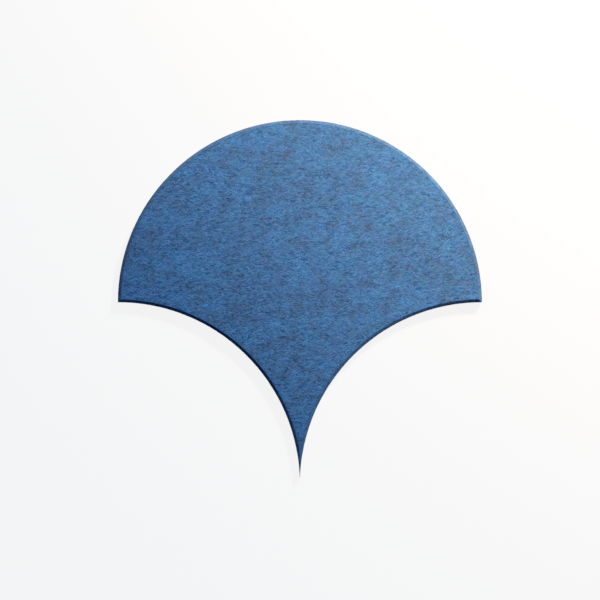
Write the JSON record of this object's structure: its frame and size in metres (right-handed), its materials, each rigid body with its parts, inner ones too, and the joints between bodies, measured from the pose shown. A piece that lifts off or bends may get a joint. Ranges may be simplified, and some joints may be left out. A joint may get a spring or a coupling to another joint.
{
  "type": "fan-shaped felt wall tile",
  "caption": "Fan-shaped wall tile cut from felt board, with a half-round crown, concave flanks that nest the next row, a pointed tail and a bevelled front edge.",
  "frame": {"origin": "on the back face, at the centre of the crown's arc", "axes": "+Z out of the front face, away from the wall; +Y from the tail to the crown; +X across the width"},
  "size_m": [0.3, 0.2945, 0.012],
  "materials": {
    "felt": "matte"
  },
  "bodies": {
    "root": {"felt_tile": "felt"}
  },
  "joints": []
}
